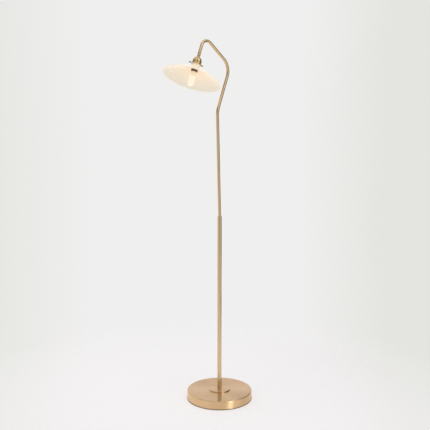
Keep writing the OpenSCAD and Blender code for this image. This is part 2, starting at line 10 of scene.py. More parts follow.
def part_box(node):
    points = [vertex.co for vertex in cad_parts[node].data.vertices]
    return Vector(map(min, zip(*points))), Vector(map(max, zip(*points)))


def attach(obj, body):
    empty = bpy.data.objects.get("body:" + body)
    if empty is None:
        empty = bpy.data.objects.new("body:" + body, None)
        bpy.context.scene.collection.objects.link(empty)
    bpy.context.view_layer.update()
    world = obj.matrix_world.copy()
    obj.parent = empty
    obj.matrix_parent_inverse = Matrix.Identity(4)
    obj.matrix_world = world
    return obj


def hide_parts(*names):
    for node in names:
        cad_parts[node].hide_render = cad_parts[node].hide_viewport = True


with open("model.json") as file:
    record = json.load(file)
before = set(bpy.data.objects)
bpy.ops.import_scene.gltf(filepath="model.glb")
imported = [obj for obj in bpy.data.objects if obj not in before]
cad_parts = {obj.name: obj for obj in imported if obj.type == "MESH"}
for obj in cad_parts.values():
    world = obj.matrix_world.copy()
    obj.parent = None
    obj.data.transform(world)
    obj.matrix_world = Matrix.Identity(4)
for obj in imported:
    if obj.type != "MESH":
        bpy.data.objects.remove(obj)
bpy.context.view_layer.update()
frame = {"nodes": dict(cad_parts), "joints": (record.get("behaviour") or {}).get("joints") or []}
nodes = frame["nodes"]
joints = {joint["name"]: joint for joint in frame["joints"]}

# Sizes in metres, the same as in the part
MM = 0.001
HEAD_TILT = math.radians(20.2)
TILT_AXIS = Vector(joints["head_tilt"]["pos_m"])
POLE_TOP = joints["arm_swivel"]["pos_m"][2]
BASE_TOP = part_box("base_cover")[1][2]

# Glass shade, its lip's level taken from the tilt joint along the head's axis
GLASS = 2.5 * MM
NECK_R = 16.6 * MM
NECK_LEN = 15 * MM
LIP_TOP = 30 * MM
LIP_T = 2.4 * MM
LIP_W = 1.3 * MM
LIP_EDGE = 0.4 * MM
FLARE_R = 10 * MM
RIM_R = 124 * MM
SHADE_H = 74.6 * MM

# Bulb, its levels taken from the tilt joint along the head's axis
CAP_LOW = 73.6 * MM
BULB_R = 12.5 * MM
BULB_NECK_R = 6.57 * MM
BULB_WALL = 0.8 * MM
BULB_TIP = 135.1 * MM
BULB_SEAT = 59.2 * MM

# Swan neck: each run's heading from upright in degrees, its length and the bend radius at its end
INSERT_LEN = 120 * MM
LEAN_RISE = 8 * MM
LEAN_BEND_R = 150 * MM
NECK_TUBE_R = 6.35 * MM
NECK_TUBE_WALL = 1.2 * MM
ARM_RUNS = [
    (1.65, 435 * MM, 110 * MM),
    (-20.1, 202 * MM, 62 * MM),
    (51.9, 176.5 * MM, 28 * MM),
    (160.5, 70 * MM, 0.0),
]

# Thumbscrew, along the axis of its joint
SCREW_SIZES = {
    "Tip": 16.9 * MM,
    "Knob In": 26 * MM,
    "Knob Out": 34 * MM,
    "Shank Radius": 1.5 * MM,
    "Thread Pitch": 0.7 * MM,
    "Thread Depth": 0.3 * MM,
    "Knob Radius": 2.4 * MM,
    "Knob Edge": 0.5 * MM,
    "Flute Depth": 0.28 * MM,
    "Flutes": 12.0,
}
# Less than the step between rings, so that the ring where the knob starts counts as the knob's
KNOB_SLACK = 0.02 * MM

# Steps along the meshes' curves
SHADE_TURN_STEPS = 192
BULB_TURN_STEPS = 96
FLARE_STEPS = 14
CONE_STEPS = 24
RIM_STEPS = 10
LIP_STEPS = 8
NECK_STEPS = 6
LIP_EDGE_STEPS = 4
SHOULDER_STEPS = 10
BULB_SIDE_STEPS = 12
BULB_TIP_STEPS = 16
BEND_STEPS = 32
TUBE_SIDES = 64
SCREW_RINGS = 172
SCREW_SIDES = 96

# Edges past this angle stay sharp, and points closer than this distance are merged
SHARP_ANGLE = math.radians(35)
MERGE_DISTANCE = 0.001 * MM

HEAD_PLACE = (
    Matrix.Translation(TILT_AXIS)
    @ Matrix.Rotation(HEAD_TILT, 4, "Y")
    @ Matrix.Rotation(math.pi, 4, "X")
)


def linear(red, green, blue):
    """A colour written in screen values of 0 to 255, as the shader needs it."""
    def channel(value):
        share = value / 255
        if share <= 0.04045:
            return share / 12.92
        return ((share + 0.055) / 1.055) ** 2.4
    return (channel(red), channel(green), channel(blue), 1.0)


def paler(colour, gain, lift=0.0):
    """A colour made lighter, held at white."""
    return tuple(min(1.0, channel * gain + lift) for channel in colour[:3]) + (1.0,)


def show(name, data):
    """A new object in the scene."""
    made = bpy.data.objects.new(name, data)
    bpy.context.scene.collection.objects.link(made)
    return made


def plain_mesh(name, work):
    """A worked shape as a mesh."""
    mesh = bpy.data.meshes.new(name)
    work.to_mesh(mesh)
    work.free()
    return mesh


# Camera, at the photograph's viewing angle

CAMERA_AZIMUTH = math.radians(-39.7)
CAMERA_DISTANCE = 2.547
CAMERA_HEIGHT = 1.035
CAMERA_PITCH = math.radians(5.24)
CAMERA_LEFT = 0.0195
CAMERA_REACH = 50
FOCAL_PIXELS = 600
FRAME_PIXELS = 430
SENSOR = 36.0

view_level = Vector((-math.sin(CAMERA_AZIMUTH), math.cos(CAMERA_AZIMUTH), 0))
view_right = Vector((math.cos(CAMERA_AZIMUTH), math.sin(CAMERA_AZIMUTH), 0))
view_down = view_level * math.cos(CAMERA_PITCH) - Vector((0, 0, math.sin(CAMERA_PITCH)))


def place_camera():
    camera = bpy.data.cameras.new("camera")
    camera.sensor_width = SENSOR
    camera.lens = FOCAL_PIXELS / FRAME_PIXELS * SENSOR
    camera.clip_end = CAMERA_REACH
    stand = show("camera", camera)
    stand.rotation_euler = view_down.to_track_quat("-Z", "Y").to_euler()
    stand.location = (
        -CAMERA_DISTANCE * view_level
        - CAMERA_LEFT * view_right
        + Vector((0, 0, CAMERA_HEIGHT))
    )
    bpy.context.scene.camera = stand


# Small helpers for node trees

FLOAT = "NodeSocketFloat"
WHOLE = "NodeSocketInt"
VECTOR = "NodeSocketVector"
GEOMETRY = "NodeSocketGeometry"


def add(tree, kind, **settings):
    """A new node, with its settings given by name."""
    made = tree.nodes.new(kind)
    for name, value in settings.items():
        setattr(made, name, value)
    return made


def feed(tree, value, slot):
    """Gives an input its value, which is another node's output or a plain value."""
    if isinstance(value, bpy.types.NodeSocket):
        tree.links.new(value, slot)
    else:
        slot.default_value = value


def maths(tree, operation, *values):
    """A maths node on one or two values, and its result."""
    made = add(tree, "ShaderNodeMath", operation=operation)
    for slot, value in zip(made.inputs, values):
        feed(tree, value, slot)
    return made.outputs[0]


def times(tree, first, second):
    return maths(tree, "MULTIPLY", first, second)


def plus(tree, first, second):
    return maths(tree, "ADD", first, second)


def minus(tree, first, second):
    return maths(tree, "SUBTRACT", first, second)


def over(tree, first, second):
    return maths(tree, "DIVIDE", first, second)


def spread(tree, value, low, high, new_low, new_high):
    """A value carried from one range to another, held at both ends."""
    made = add(tree, "ShaderNodeMapRange")
    given = {"Value": value, "From Min": low, "From Max": high, "To Min": new_low, "To Max": new_high}
    for label, each in given.items():
        feed(tree, each, made.inputs[label])
    return made.outputs["Result"]


def blend_colours(tree, share, first, second):
    """Two colours mixed by a share, each a socket or a plain colour."""
    made = add(tree, "ShaderNodeMix", data_type="RGBA")
    feed(tree, share, made.inputs["Factor"])
    feed(tree, first, made.inputs[6])
    feed(tree, second, made.inputs[7])
    return made.outputs[2]


def noise(tree, at, scale, detail=2.0, distortion=0.0):
    """A soft random value that changes from place to place."""
    made = add(tree, "ShaderNodeTexNoise")
    given = {"Vector": at, "Scale": scale, "Detail": detail, "Distortion": distortion}
    for label, value in given.items():
        feed(tree, value, made.inputs[label])
    return made.outputs[0]


def attribute(tree, name):
    """A value that a piece keeps at its points."""
    return add(tree, "ShaderNodeAttribute", attribute_name=name).outputs["Fac"]


def new_group(name, inputs, outputs, kind="ShaderNodeTree"):
    """An empty group with its sockets, and its two end nodes."""
    tree = bpy.data.node_groups.new(name, kind)
    for way, sockets in (("INPUT", inputs), ("OUTPUT", outputs)):
        for label, socket in sockets.items():
            tree.interface.new_socket(label, in_out=way, socket_type=socket)
    return tree, add(tree, "NodeGroupInput").outputs, add(tree, "NodeGroupOutput").inputs


# Effects that several finishes share

def make_turned_coordinates():
    """Radius, height and turn about the Z axis, as a position for fine turned lines."""
    tree, given, result = new_group(
        "turned_coordinates",
        {"Vector": VECTOR, "Lines": FLOAT, "Breaks": FLOAT},
        {"Position": VECTOR, "Side": FLOAT, "Radius": FLOAT, "Height": FLOAT},
    )
    parts = add(tree, "ShaderNodeSeparateXYZ")
    feed(tree, given["Vector"], parts.inputs[0])
    east, north, height = parts.outputs
    flat = add(tree, "ShaderNodeCombineXYZ")
    feed(tree, east, flat.inputs[0])
    feed(tree, north, flat.inputs[1])
    length = add(tree, "ShaderNodeVectorMath", operation="LENGTH")
    feed(tree, flat.outputs[0], length.inputs[0])
    radius = length.outputs["Value"]
    turn = maths(tree, "ARCTAN2", north, east)
    position = add(tree, "ShaderNodeCombineXYZ")
    feed(tree, times(tree, radius, given["Lines"]), position.inputs[0])
    feed(tree, times(tree, height, given["Lines"]), position.inputs[1])
    feed(tree, times(tree, maths(tree, "COSINE", turn), given["Breaks"]), position.inputs[2])
    feed(tree, position.outputs[0], result["Position"])
    feed(tree, times(tree, maths(tree, "SINE", turn), given["Breaks"]), result["Side"])
    feed(tree, radius, result["Radius"])
    feed(tree, height, result["Height"])
    return tree


def make_satin_lines():
    """Fine brushed lines: a value about zero that changes from line to line."""
    tree, given, result = new_group("satin_lines", {"Position": VECTOR, "Side": FLOAT}, {"Line": FLOAT})
    lines = add(tree, "ShaderNodeTexNoise", noise_dimensions="4D")
    feed(tree, given["Position"], lines.inputs["Vector"])
    feed(tree, given["Side"], lines.inputs["W"])
    feed(tree, 1.0, lines.inputs["Scale"])
    feed(tree, 3.0, lines.inputs["Detail"])
    feed(tree, 0.65, lines.inputs["Roughness"])
    feed(tree, minus(tree, lines.outputs[0], 0.5), result["Line"])
    return tree


def make_handling_marks():
    """Broad soft patches where hands and cloths have passed, and small scattered specks."""
    tree, given, result = new_group(
        "handling_marks",
        {"Vector": VECTOR, "Patch Size": FLOAT, "Speck Size": FLOAT},
        {"Patches": FLOAT, "Specks": FLOAT},
    )
    patches = noise(tree, given["Vector"], scale=given["Patch Size"], detail=4.0, distortion=0.6)
    feed(tree, spread(tree, patches, 0.35, 0.7, 0.0, 1.0), result["Patches"])
    specks = add(tree, "ShaderNodeTexVoronoi")
    feed(tree, given["Vector"], specks.inputs["Vector"])
    feed(tree, given["Speck Size"], specks.inputs["Scale"])
    feed(tree, spread(tree, specks.outputs["Distance"], 0.04, 0.12, 1.0, 0.0), result["Specks"])
    return tree


def make_worn_edges():
    """A softened normal at edges, and a mask of the edges themselves."""
    tree, given, result = new_group("worn_edges", {"Width": FLOAT}, {"Mask": FLOAT, "Normal": VECTOR})
    round_edge = add(tree, "ShaderNodeBevel", samples=6)
    feed(tree, given["Width"], round_edge.inputs["Radius"])
    surface = add(tree, "ShaderNodeNewGeometry")
    facing = add(tree, "ShaderNodeVectorMath", operation="DOT_PRODUCT")
    feed(tree, round_edge.outputs[0], facing.inputs[0])
    feed(tree, surface.outputs["Normal"], facing.inputs[1])
    feed(tree, spread(tree, facing.outputs["Value"], 0.86, 0.995, 1.0, 0.0), result["Mask"])
    feed(tree, round_edge.outputs[0], result["Normal"])
    return tree


def make_settled_dust():
    """A thin uneven veil on surfaces that face up."""
    tree, given, result = new_group("settled_dust", {"Vector": VECTOR, "Amount": FLOAT}, {"Mask": FLOAT})
    surface = add(tree, "ShaderNodeNewGeometry")
    parts = add(tree, "ShaderNodeSeparateXYZ")
    feed(tree, surface.outputs["Normal"], parts.inputs[0])
    up = spread(tree, parts.outputs[2], 0.3, 0.95, 0.0, 1.0)
    grains = noise(tree, given["Vector"], scale=160.0, detail=5.0)
    uneven = spread(tree, grains, 0.3, 0.75, 0.2, 1.0)
    feed(tree, times(tree, times(tree, up, uneven), given["Amount"]), result["Mask"])
    return tree


TURNED = make_turned_coordinates()
LINES = make_satin_lines()
MARKS = make_handling_marks()
EDGES = make_worn_edges()
DUST = make_settled_dust()


def use(tree, group, **values):
    """Places a shared effect in a material, with its own values."""
    made = add(tree, "ShaderNodeGroup", node_tree=group)
    for name, value in values.items():
        feed(tree, value, made.inputs[name.replace("_", " ")])
    return made.outputs


def main_shader(tree):
    return next(node for node in tree.nodes if node.type == "BSDF_PRINCIPLED")


def start_finish(name):
    """A new material with its tree and its main shader."""
    finish = bpy.data.materials.new(name)
    finish.use_nodes = True
    return finish, finish.node_tree, main_shader(finish.node_tree)


def dress(tree, shader, **values):
    """Gives a shader its inputs by name."""
    for name, value in values.items():
        feed(tree, value, shader.inputs[name.replace("_", " ")])


def object_place(tree, place=None):
    """Object coordinates, carried into a piece's own axes where it has some."""
    at = add(tree, "ShaderNodeTexCoord").outputs["Object"]
    if place is None:
        return at
    inverse = place.inverted()
    mapping = add(tree, "ShaderNodeMapping")
    feed(tree, at, mapping.inputs["Vector"])
    feed(tree, inverse.to_translation(), mapping.inputs["Location"])
    feed(tree, inverse.to_euler(), mapping.inputs["Rotation"])
    return mapping.outputs[0]


def bump(tree, shader, height, strength, depth, normal=None):
    """A fine relief on the shader's normal, over a softened edge where there is one."""
    relief = add(tree, "ShaderNodeBump")
    feed(tree, strength, relief.inputs["Strength"])
    feed(tree, depth, relief.inputs["Distance"])
    feed(tree, height, relief.inputs["Height"])
    if normal is not None:
        feed(tree, normal, relief.inputs["Normal"])
    feed(tree, relief.outputs[0], shader.inputs["Normal"])


# Finishes

# Brass tones: main and deep, with a pale one between them where edges are worn, and on the base's side as
# a painted reflection
BASE_TONES = (linear(231, 195, 155), linear(246, 208, 162), linear(206, 166, 122))
HEAD_TONES = (linear(230, 200, 153), linear(240, 216, 176), linear(196, 164, 112))
POLE_TONES = (linear(222, 195, 157), linear(234, 212, 181), linear(196, 166, 123))
TUBE_TONES = (linear(232, 203, 164), linear(206, 174, 130))
AGED_TONES = (linear(152, 130, 98), linear(112, 92, 64))
DUST_GREY = linear(196, 190, 182)
# Painted shade: the dark line at the foot of the base's side
FOOT_SHADE = linear(92, 62, 38)

# How far lines, patches, edges and dust change the brass
BRASS_PATCHES = 7.0
LINE_SWING = 0.3
LINE_SHARE = 0.3
PATCH_SHARE = 0.12
EDGE_SHARE = 0.5
DUST_ROUGHNESS = 0.3
BRASS_RELIEF = {"strength": 0.05, "depth": 0.2 * MM}

# The base: where its upright side starts below the top face, its painted reflection, the painted shade at
# its foot, and its gloss
SIDE_FADE_LOW = 4 * MM
SIDE_FADE_HIGH = 1 * MM
SIDE_PAINTED_PALE_SHARE = 0.8
SIDE_ROUGHNESS = 0.1
FOOT_SHADE_LOW = 2 * MM
FOOT_SHADE_HIGH = 4.5 * MM
FOOT_SHADE_SHARE = 0.85
GLOSS_STRETCH = 1.0
GLOSS_TURN = 0.25

# How far patches, specks and edges change the other finishes
METAL_DULL_SHARE = 0.5
METAL_SPECK_SHARE = 0.3
METAL_EDGE_SHARE = 0.6
MOULD_EDGE_SHARE = 0.35
FELT_PATCH_SHARE = 0.3
CLOUD_SHARE = 0.2
STREAK_SHARE = 0.15

# The shade rim's band of paler painted glow, and where the bulb goes from warm to cream
RIM_BAND = 5 * MM
BULB_WARM = 80 * MM
BULB_CREAM = 102 * MM


def brushed_colour(tree, line, patches, main, deep):
    """A tone that deepens from line to line and where hands have passed."""
    tone = spread(tree, line, -LINE_SWING, LINE_SWING, 0.0, 1.0)
    lined = blend_colours(tree, times(tree, tone, LINE_SHARE), main, deep)
    return blend_colours(tree, times(tree, patches, PATCH_SHARE), lined, deep)


def brushed_roughness(tree, line, patches, roughness, line_share=0.2, patch_share=0.05):
    """A roughness that changes from line to line and where hands have passed."""
    lined = plus(tree, times(tree, line, line_share), roughness)
    return plus(tree, lined, times(tree, patches, patch_share))


def satin_brass(name, tones, lines, place=None, roughness=0.24, dust=0.05, side_top=None):
    """Champagne brass, brushed in turned lines about an axis, so many a metre.

    Where the level of a top face is given, the upright side below it is rougher, painted paler as a
    painted reflection, and painted dark at its foot as painted shade.
    """
    main, pale, deep = tones
    finish, tree, shader = start_finish(name)
    at = object_place(tree, place)
    turned_at = use(tree, TURNED, Vector=at, Lines=lines, Breaks=2.0)
    line = use(tree, LINES, Position=turned_at["Position"], Side=turned_at["Side"])["Line"]
    patches = use(tree, MARKS, Vector=at, Patch_Size=BRASS_PATCHES)["Patches"]
    edges = use(tree, EDGES, Width=0.5 * MM)
    veil = use(tree, DUST, Vector=at, Amount=dust)["Mask"]
    colour = brushed_colour(tree, line, patches, main, deep)
    colour = blend_colours(tree, times(tree, edges["Mask"], EDGE_SHARE), colour, pale)
    rough = brushed_roughness(tree, line, patches, roughness)
    if side_top is not None:
        height = turned_at["Height"]
        on_side = spread(tree, height, side_top - SIDE_FADE_LOW, side_top - SIDE_FADE_HIGH, 1.0, 0.0)
        rough = plus(tree, rough, times(tree, on_side, SIDE_ROUGHNESS))
        # Painted reflection: the side's colour made paler; painted shade: a dark line at its foot
        colour = blend_colours(tree, times(tree, on_side, SIDE_PAINTED_PALE_SHARE), colour, pale)
        foot_shade = spread(tree, height, FOOT_SHADE_LOW, FOOT_SHADE_HIGH, FOOT_SHADE_SHARE, 0.0)
        colour = blend_colours(tree, foot_shade, colour, FOOT_SHADE)
    dress(
        tree, shader,
        Base_Color=blend_colours(tree, veil, colour, DUST_GREY),
        Roughness=plus(tree, rough, times(tree, veil, DUST_ROUGHNESS)),
        Metallic=minus(tree, 1.0, veil),
    )
    bump(tree, shader, line, **BRASS_RELIEF, normal=edges["Normal"])
    return finish


def brushed_round(finish):
    """Stretches the gloss across lines that run round the upright axis."""
    tree = finish.node_tree
    tangent = add(tree, "ShaderNodeTangent", direction_type="RADIAL", axis="Z")
    dress(
        tree, main_shader(tree),
        Tangent=tangent.outputs[0],
        Anisotropic=GLOSS_STRETCH,
        Anisotropic_Rotation=GLOSS_TURN,
    )
    return finish


def drawn_brass(name, tones, roughness=0.24, lines=2600.0):
    """The same brass on a tube or rod, brushed round it: the lines follow the piece's own length."""
    main, deep = tones
    finish, tree, shader = start_finish(name)
    turn = times(tree, attribute(tree, "around"), 2 * math.pi)
    position = add(tree, "ShaderNodeCombineXYZ")
    feed(tree, times(tree, attribute(tree, "along"), lines), position.inputs[0])
    feed(tree, maths(tree, "COSINE", turn), position.inputs[1])
    line = use(tree, LINES, Position=position.outputs[0], Side=maths(tree, "SINE", turn))["Line"]
    patches = use(tree, MARKS, Vector=object_place(tree), Patch_Size=BRASS_PATCHES)["Patches"]
    dress(
        tree, shader,
        Base_Color=brushed_colour(tree, line, patches, main, deep),
        Roughness=brushed_roughness(tree, line, patches, roughness),
        Metallic=1.0,
    )
    bump(tree, shader, line, **BRASS_RELIEF)
    return finish


def plain_metal(name, colour, deep, roughness, lines, place=None):
    """Machined metal of the hidden fittings: turned lines, dull patches and bright edges."""
    finish, tree, shader = start_finish(name)
    at = object_place(tree, place)
    turned_at = use(tree, TURNED, Vector=at, Lines=lines, Breaks=4.0)
    line = use(tree, LINES, Position=turned_at["Position"], Side=turned_at["Side"])["Line"]
    marks = use(tree, MARKS, Vector=at, Patch_Size=40.0, Speck_Size=900.0)
    edges = use(tree, EDGES, Width=0.3 * MM)
    dull = blend_colours(tree, times(tree, marks["Patches"], METAL_DULL_SHARE), colour, deep)
    specked = blend_colours(tree, times(tree, marks["Specks"], METAL_SPECK_SHARE), dull, deep)
    worn = times(tree, edges["Mask"], METAL_EDGE_SHARE)
    dress(
        tree, shader,
        Base_Color=blend_colours(tree, worn, specked, paler(colour, gain=1.25)),
        Roughness=brushed_roughness(
            tree, line, marks["Patches"], roughness, line_share=0.3, patch_share=0.12),
        Metallic=1.0,
    )
    bump(tree, shader, line, strength=0.12, depth=0.3 * MM, normal=edges["Normal"])
    return finish


def cast_iron(name):
    """Sand-cast iron with a dark oily skin."""
    finish, tree, shader = start_finish(name)
    at = object_place(tree)
    marks = use(tree, MARKS, Vector=at, Patch_Size=22.0, Speck_Size=260.0)
    sand = noise(tree, at, scale=650.0, detail=6.0)
    skin = blend_colours(tree, marks["Patches"], linear(58, 57, 57), linear(82, 76, 70))
    dress(
        tree, shader,
        Base_Color=blend_colours(tree, marks["Specks"], skin, linear(104, 88, 74)),
        Roughness=spread(tree, sand, 0.3, 0.7, 0.45, 0.75),
        Metallic=0.6,
    )
    bump(tree, shader, sand, strength=0.5, depth=0.6 * MM)
    return finish


def felt(name):
    """Pressed felt: short tangled fibres over a mottled ground."""
    finish, tree, shader = start_finish(name)
    at = object_place(tree)
    fibres = noise(tree, at, scale=900.0, detail=8.0, distortion=2.5)
    patches = use(tree, MARKS, Vector=at, Patch_Size=30.0)["Patches"]
    ground = blend_colours(tree, fibres, linear(40, 36, 33), linear(86, 79, 72))
    worn = times(tree, patches, FELT_PATCH_SHARE)
    dress(
        tree, shader,
        Base_Color=blend_colours(tree, worn, ground, linear(66, 60, 54)),
        Roughness=spread(tree, fibres, 0.2, 0.8, 0.85, 1.0),
        Sheen_Weight=0.4,
    )
    bump(tree, shader, fibres, strength=0.7, depth=0.5 * MM)
    return finish


def moulded(name, colour, deep, roughness, coat=0.0):
    """Moulded plastic with faint flow marks and softened edges."""
    finish, tree, shader = start_finish(name)
    flow = noise(tree, object_place(tree), scale=60.0, detail=4.0, distortion=1.4)
    edges = use(tree, EDGES, Width=0.4 * MM)
    ground = blend_colours(tree, flow, colour, deep)
    worn = times(tree, edges["Mask"], MOULD_EDGE_SHARE)
    dress(
        tree, shader,
        Base_Color=blend_colours(tree, worn, ground, paler(colour, gain=1.6, lift=0.01)),
        Roughness=spread(tree, flow, 0.3, 0.7, roughness - 0.06, roughness + 0.08),
        Coat_Weight=coat,
    )
    bump(tree, shader, flow, strength=0.05, depth=0.4 * MM, normal=edges["Normal"])
    return finish


def opal_glass(name):
    """Opal glass with a painted glow for the bulb's light: a peach inner face, partly painted warmth, a
    paler outer face and a paler painted glow at the rim.
    """
    finish, tree, shader = start_finish(name)
    at = object_place(tree, HEAD_PLACE)
    turned_at = use(tree, TURNED, Vector=at, Lines=120.0, Breaks=1.2)
    swirl = use(tree, LINES, Position=turned_at["Position"], Side=turned_at["Side"])["Line"]
    patches = use(tree, MARKS, Vector=at, Patch_Size=14.0)["Patches"]
    outer = attribute(tree, "outer")
    outward = spread(tree, turned_at["Radius"], NECK_R, RIM_R, 0.0, 1.0)
    at_rim = spread(tree, turned_at["Radius"], RIM_R - RIM_BAND, RIM_R, 0.0, 1.0)
    # Peach inside, warmest by the neck: partly the glass's own tone, partly painted warmth of the bulb's
    # light
    inner_tone_and_painted_warmth = blend_colours(tree, outward, linear(206, 194, 176), linear(204, 199, 187))
    skin = blend_colours(tree, outer, inner_tone_and_painted_warmth, linear(209, 198, 185))
    cloudy = blend_colours(tree, times(tree, patches, CLOUD_SHARE), skin, linear(228, 220, 206))
    streaks = spread(tree, swirl, 0.05, 0.35, 0.0, STREAK_SHARE)
    # Painted glow: the glass gives off light of its own for the bulb's light through it, paler on the
    # outer face and at the rim
    lit = blend_colours(tree, outward, linear(186, 162, 137), linear(149, 142, 129))
    painted_glow = blend_colours(tree, outer, lit, linear(173, 160, 139))
    dress(
        tree, shader,
        Base_Color=blend_colours(tree, streaks, cloudy, linear(198, 182, 158)),
        Roughness=spread(tree, patches, 0.0, 1.0, 0.2, 0.3),
        Specular_IOR_Level=0.3,
        Emission_Color=blend_colours(tree, at_rim, painted_glow, linear(176, 168, 155)),
        Emission_Strength=1.0,
    )
    return finish


def lit_bulb(name):
    """Frosted bulb glass, lit from within: warm by the cap and cream along the column."""
    finish, tree, shader = start_finish(name)
    at = object_place(tree, HEAD_PLACE)
    frost = noise(tree, at, scale=900.0, detail=3.0)
    down = spread(tree, use(tree, TURNED, Vector=at)["Height"], BULB_WARM, BULB_CREAM, 0.0, 1.0)
    dress(
        tree, shader,
        Base_Color=blend_colours(tree, frost, linear(206, 200, 188), linear(198, 192, 180)),
        Emission_Color=blend_colours(tree, down, linear(166, 136, 100), linear(200, 190, 172)),
        Emission_Strength=1.0,
        Roughness=spread(tree, frost, 0.3, 0.7, 0.3, 0.45),
    )
    bump(tree, shader, frost, strength=0.1, depth=0.2 * MM)
    return finish


def phosphor(name):
    """Coated filament sticks, lit."""
    finish, tree, shader = start_finish(name)
    grain = noise(tree, object_place(tree, HEAD_PLACE), scale=1500.0)
    dress(
        tree, shader,
        Base_Color=blend_colours(tree, grain, linear(255, 214, 120), linear(255, 190, 84)),
        Emission_Color=blend_colours(tree, grain, linear(255, 214, 150), linear(255, 196, 110)),
        Emission_Strength=2.0,
        Roughness=spread(tree, grain, 0.3, 0.7, 0.5, 0.7),
    )
    return finish


base_brass = brushed_round(
    satin_brass("satin_brass_base", BASE_TONES, lines=2200.0, roughness=0.23, side_top=BASE_TOP))
pole_brass = satin_brass("satin_brass_pole", POLE_TONES, lines=2600.0, dust=0.0)
head_brass = satin_brass(
    "satin_brass_head", HEAD_TONES, lines=3200.0, place=HEAD_PLACE, roughness=0.2, dust=0.0)
tube_brass = drawn_brass("satin_brass_tube", TUBE_TONES)
aged_brass = drawn_brass("aged_brass_screws", AGED_TONES, roughness=0.3, lines=5000.0)
raw_brass = plain_metal(
    "turned_raw_brass", linear(206, 172, 106), linear(160, 122, 66), roughness=0.3, lines=4000.0)
zinc = plain_metal(
    "zinc_plated_steel", linear(184, 186, 190), linear(140, 142, 148), roughness=0.34, lines=4000.0)
cap_metal = plain_metal(
    "pressed_cap_metal", linear(206, 204, 200), linear(160, 156, 150),
    roughness=0.26, lines=3000.0, place=HEAD_PLACE)
iron = cast_iron("cast_iron")
pad_felt = felt("pad_felt")
phenolic = moulded("dark_phenolic", linear(88, 65, 44), linear(71, 50, 34), roughness=0.3, coat=0.4)
nylon = moulded("natural_nylon", linear(226, 221, 208), linear(208, 201, 184), roughness=0.5)
opal = opal_glass("opal_glass")
bulb_lit = lit_bulb("frosted_bulb")
filament_lit = phosphor("filament_phosphor")

node_finish = {
    base_brass: ["base_cover", "centre_plate"],
    pole_brass: ["lower_pole"],
    tube_brass: ["swan_neck"],
    head_brass: ["knuckle_fork", "knuckle_tongue", "knuckle_screw", "knuckle_nut", "domed_cup", "gallery"],
    aged_brass: ["thumbscrew_1", "thumbscrew_2", "thumbscrew_3"],
    raw_brass: ["base_nipple", "foot_plug", "neck_plug", "socket_shell", "socket_contact"],
    zinc: ["base_spacer", "base_washer", "base_nut", "thrust_washer", "stop_pin", "friction_washers",
           "holder_nut"],
    cap_metal: ["bulb_cap", "bulb_contact"],
    iron: ["base_weight"],
    pad_felt: ["base_pad"],
    phenolic: ["cord_bushing", "socket_body", "bulb_insulator"],
    nylon: ["upper_bush", "lower_bush"],
    opal: ["glass_shade"],
    bulb_lit: ["bulb_glass", "bulb_stem"],
    filament_lit: ["bulb_filament"],
}
for finish, names in node_finish.items():
    for name in names:
        for slot in nodes[name].material_slots:
            slot.material = finish


# Pieces that stand for plainer solids

def finish_piece(name, mesh, finish, body, stands_for):
    """Puts a finished mesh in the scene, on its body, in place of the solids that it stands for."""
    mesh.set_sharp_from_angle(angle=SHARP_ANGLE)
    piece = show(name, mesh)
    if not mesh.materials:
        mesh.materials.append(finish)
    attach(piece, body)
    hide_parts(*stands_for)
    return piece


def turned_mesh(name, outline, steps, outer=None):
    """A closed outline of radius and height points, spun about the head's axis.

    Where a list of shares is given, one for each point, it says how far a point is on the outer face.
    """
    work = bmesh.new()
    outer_mark = work.verts.layers.float.new("outer") if outer else None
    rings = []
    for step in range(steps):
        angle = 2 * math.pi * step / steps
        rings.append([
            work.verts.new((radius * math.cos(angle), radius * math.sin(angle), height))
            for radius, height in outline
        ])
    if outer:
        for circle in rings:
            for corner, share in zip(circle, outer):
                corner[outer_mark] = share
    count = len(outline)
    for step in range(steps):
        here = rings[step]
        after = rings[(step + 1) % steps]
        for i in range(count):
            k = (i + 1) % count
            work.faces.new((here[i], after[i], after[k], here[k]))
    bmesh.ops.remove_doubles(work, verts=work.verts, dist=MERGE_DISTANCE)
    bmesh.ops.recalc_face_normals(work, faces=work.faces)
    for face in work.faces:
        face.smooth = True
    mesh = plain_mesh(name, work)
    mesh.transform(HEAD_PLACE)
    return mesh


def arc(centre, radius, start, end, count):
    """Points on an arc, from one angle to another in degrees."""
    angles = [math.radians(start + (end - start) * i / count) for i in range(count + 1)]
    return [
        (centre[0] + radius * math.cos(angle), centre[1] + radius * math.sin(angle)) for angle in angles
    ]


def straight(start, end, count):
    """Points on a straight line, without its two ends."""
    return [
        (start[0] + (end[0] - start[0]) * i / count, start[1] + (end[1] - start[1]) * i / count)
        for i in range(1, count)
    ]


# Glass shade

